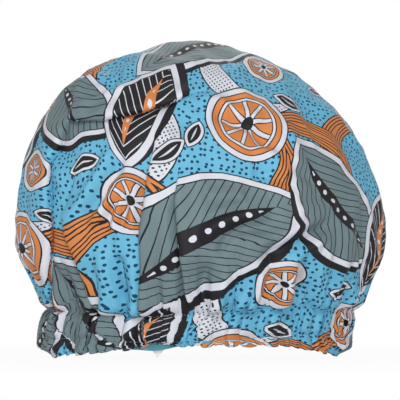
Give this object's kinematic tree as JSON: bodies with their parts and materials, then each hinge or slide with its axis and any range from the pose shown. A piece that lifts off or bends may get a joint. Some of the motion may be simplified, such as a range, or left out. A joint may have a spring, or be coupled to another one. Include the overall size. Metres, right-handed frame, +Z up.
{
  "type": "hair bonnet",
  "caption": "Lined hair bonnet: a full rounded crown of printed cloth drawn in at the hem by an elastic band in a stitched casing, with a ruffled edge and a hanging care label inside.",
  "frame": {"origin": "on the surface that the hem stands on, under the middle of the bonnet", "axes": "+Z up from the hem to the crown, +X to the right along the long axis of the hem, -Y to the front"},
  "size_m": [0.228, 0.194, 0.196],
  "materials": {
    "printed_cloth": "printed satin",
    "satin_lining": "plain satin",
    "elastic_web": "woven elastic",
    "thread": "sewing thread",
    "label_ribbon": "satin ribbon"
  },
  "bodies": {
    "bonnet": {"outer_front_panel": "printed_cloth", "outer_back_panel": "printed_cloth", "outer_seam_thread": "thread", "lining_front_panel": "satin_lining", "lining_back_panel": "satin_lining", "lining_seam_thread": "thread", "upper_casing_stitch": "thread", "lower_casing_stitch": "thread", "hem_edge_stitch": "thread", "elastic_band": "elastic_web", "elastic_join_stitch": "thread", "label_tack_thread": "thread"},
    "label": {"care_label": "label_ribbon"}
  },
  "joints": [
    {"name": "label_flap", "type": "hinge", "parent": "bonnet", "child": "label", "pos_m": [-0.02564, -0.06813, 0.0116], "axis": [0.9706, -0.2407, 0], "range_deg": [0, 80]}
  ]
}
